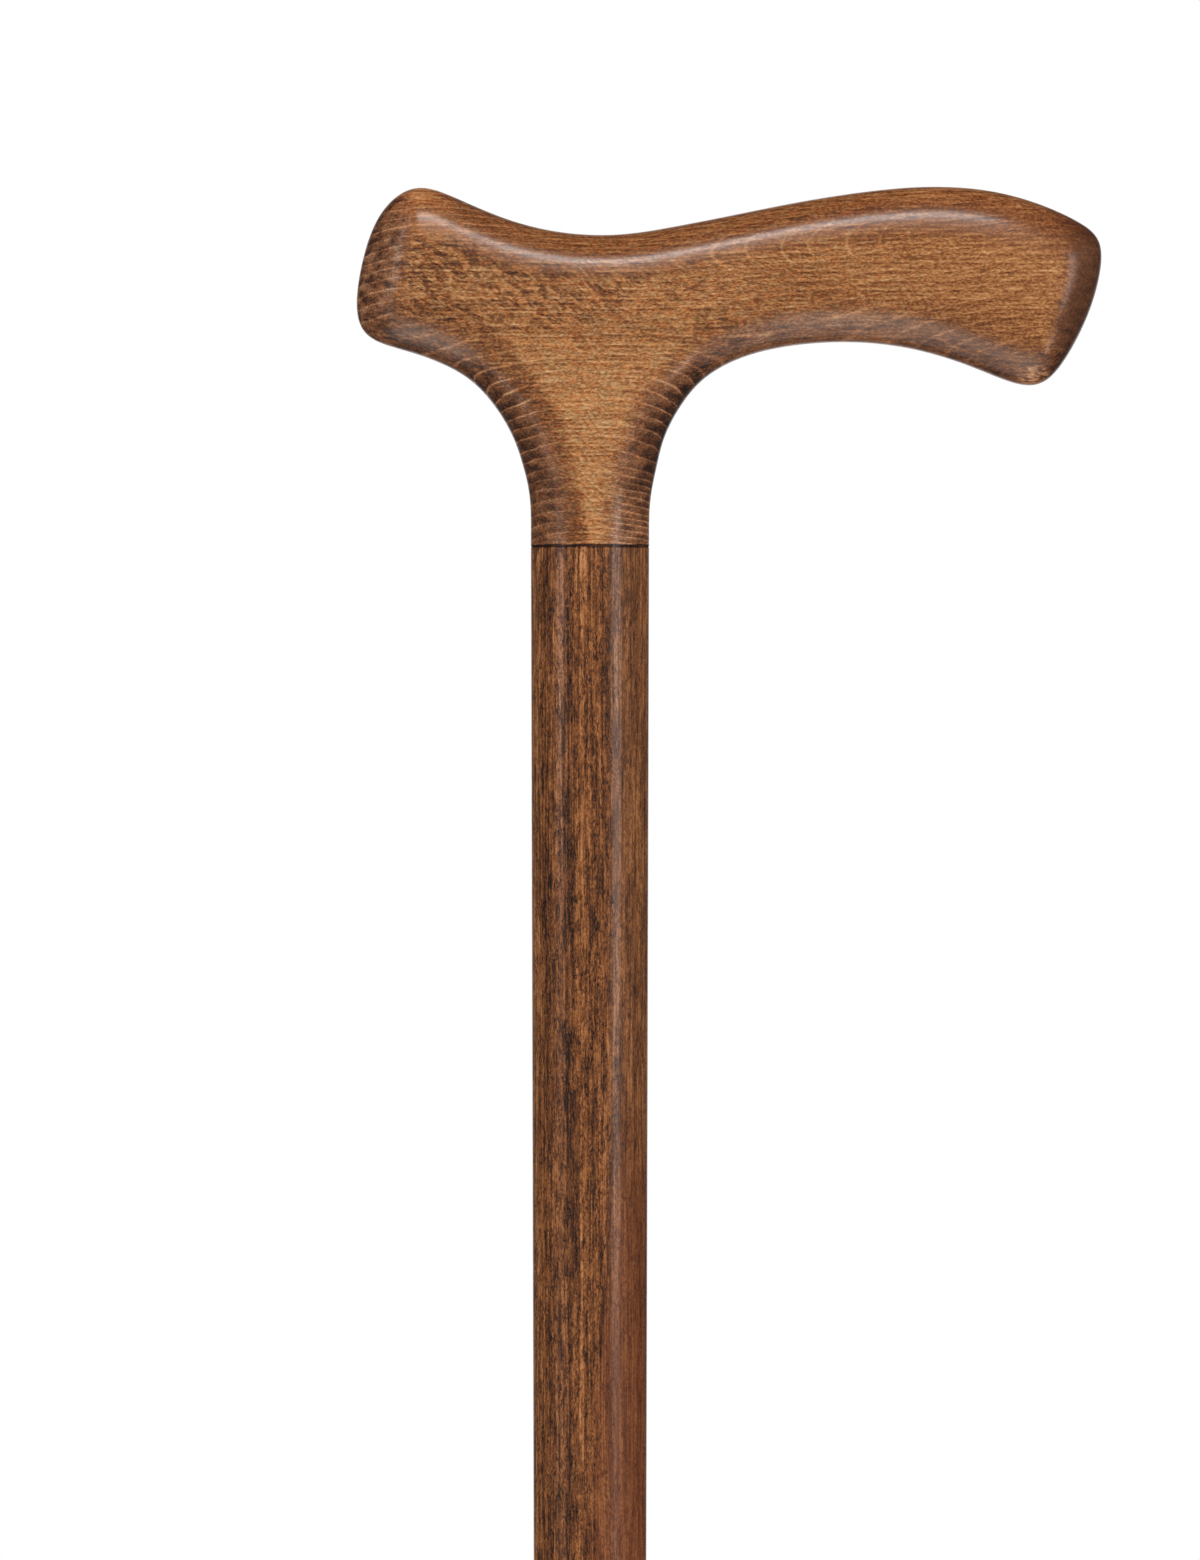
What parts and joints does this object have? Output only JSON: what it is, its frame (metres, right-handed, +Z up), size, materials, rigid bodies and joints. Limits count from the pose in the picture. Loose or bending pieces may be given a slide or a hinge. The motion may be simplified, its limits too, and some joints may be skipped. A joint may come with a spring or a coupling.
{
  "type": "walking cane",
  "caption": "Wooden walking cane with a flat-sided fritz handle on a tapered round shaft, ending in a rubber ferrule.",
  "frame": {"origin": "centre of the ferrule's sole, where the cane meets the ground", "axes": "+Z up the shaft to the handle, +X towards the handle's long arm, +Y away from the viewer of the handle's front face"},
  "size_m": [0.1305, 0.034, 0.92],
  "materials": {
    "handle_wood": "brown-stained beech under satin lacquer, grain along the grip",
    "shaft_wood": "brown-stained beech under satin lacquer, grain along the shaft",
    "stud_steel": "zinc-plated threaded rod",
    "ferrule_rubber": "moulded black-brown rubber, matt",
    "washer_steel": "plain washer"
  },
  "bodies": {
    "stick": {"handle": "handle_wood", "shaft": "shaft_wood", "joint_stud": "stud_steel"},
    "tip": {"ferrule": "ferrule_rubber", "ferrule_washer": "washer_steel"}
  },
  "joints": [
    {"name": "ferrule_pull", "type": "slide", "parent": "stick", "child": "tip", "axis": [0, 0, -1], "range_m": [0, 0.036]}
  ]
}
